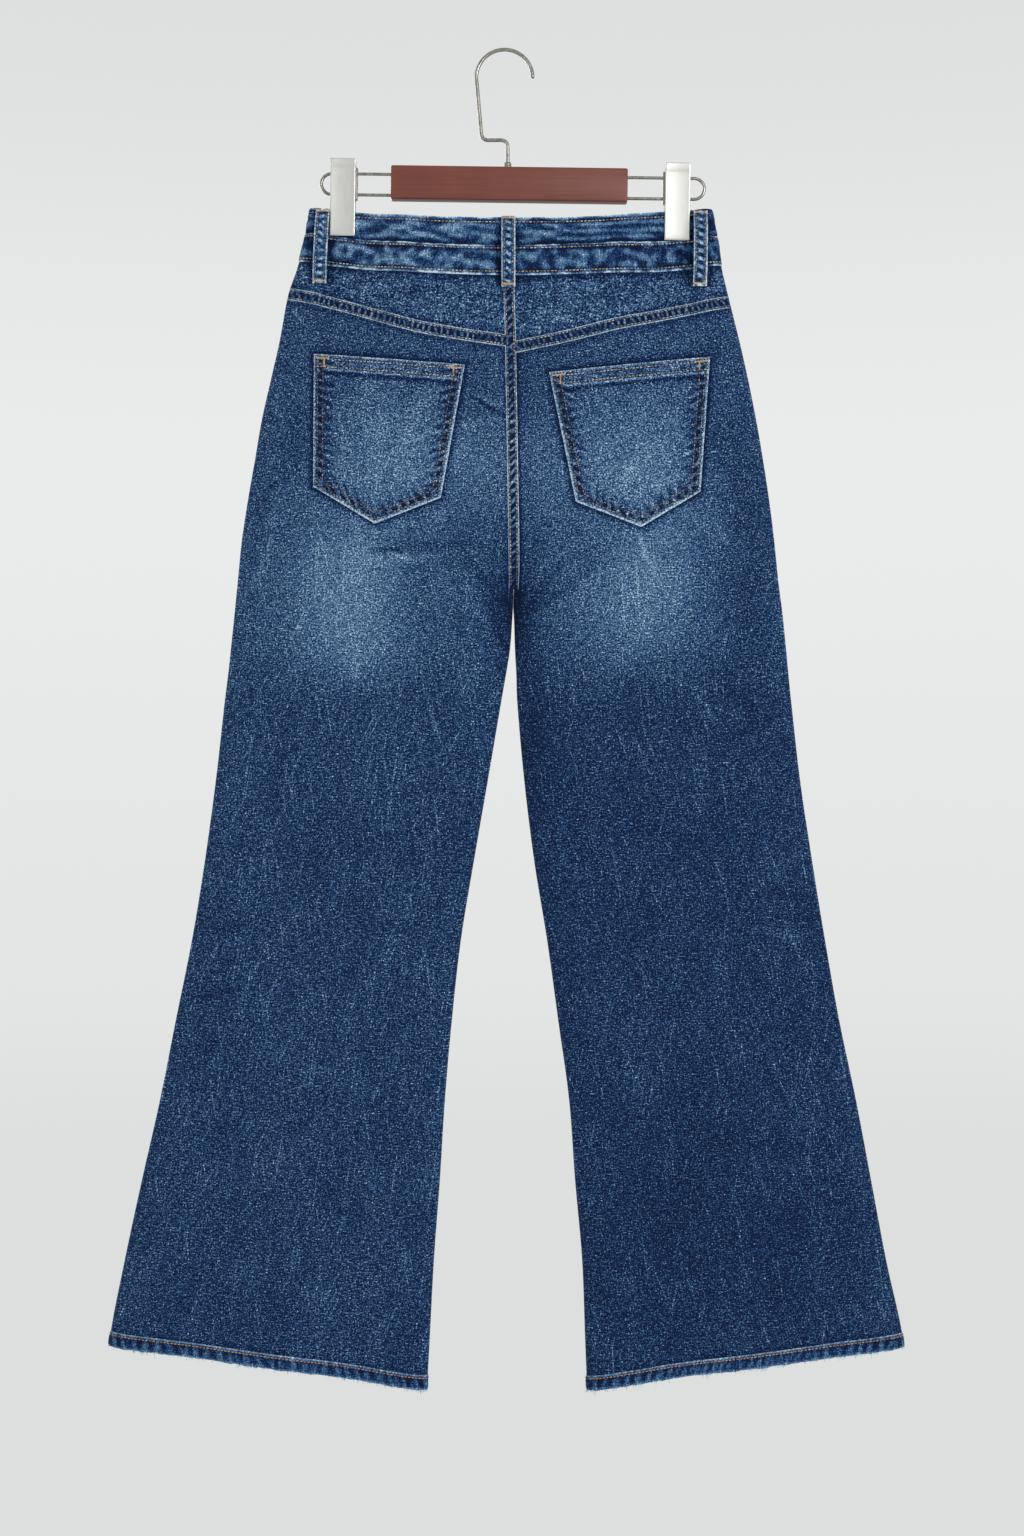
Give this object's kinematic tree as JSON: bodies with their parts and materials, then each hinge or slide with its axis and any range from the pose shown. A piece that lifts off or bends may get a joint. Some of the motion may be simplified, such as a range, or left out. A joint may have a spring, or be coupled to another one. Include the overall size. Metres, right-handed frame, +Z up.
{
  "type": "flared jeans on clip hanger",
  "caption": "Flared denim jeans with a doubled waistband, patch back pockets and belt loops, hung flat by the waist from a wooden clip hanger.",
  "frame": {"origin": "the inner top of the hanger's hook, where it rests on a rail", "axes": "+Z up. The back of the jeans faces -Y and the front faces +Y. The wearer's left is -X."},
  "size_m": [0.7008, 0.0562, 1.1806],
  "materials": {
    "denim": "mid-blue washed denim, faded on the seat and thighs",
    "worn_denim": "the same denim, worn paler along its edges",
    "zip_tape": "woven navy tape",
    "brass": "antique brass",
    "wood": "red-brown stain under satin lacquer",
    "satin_steel": "satin nickel plate"
  },
  "bodies": {
    "root": {"back_panel_left": "denim", "back_panel_right": "denim", "front_panel_left": "denim", "front_panel_right": "denim", "yoke_left": "denim", "yoke_right": "denim", "front_pocket_facing_left": "denim", "front_pocket_facing_right": "denim", "fly_flap": "denim", "waistband_upper": "worn_denim", "waistband_lower": "worn_denim", "hem_left": "worn_denim", "hem_right": "worn_denim", "back_pocket_left": "worn_denim", "back_pocket_right": "worn_denim", "belt_loop_back_left": "worn_denim", "belt_loop_back_centre": "worn_denim", "belt_loop_back_right": "worn_denim", "belt_loop_front_left": "worn_denim", "belt_loop_front_right": "worn_denim", "zip_tape": "zip_tape", "zip_slider": "brass", "button_upper": "brass", "button_lower": "brass", "hanger_bar": "wood", "hanger_hook": "satin_steel", "hook_ferrule": "satin_steel", "hanger_wire_left": "satin_steel", "hanger_wire_right": "satin_steel", "clip_left_back": "satin_steel", "clip_left_front": "satin_steel", "clip_right_back": "satin_steel", "clip_right_front": "satin_steel", "clip_slider_left": "satin_steel", "clip_slider_right": "satin_steel"}
  },
  "joints": []
}
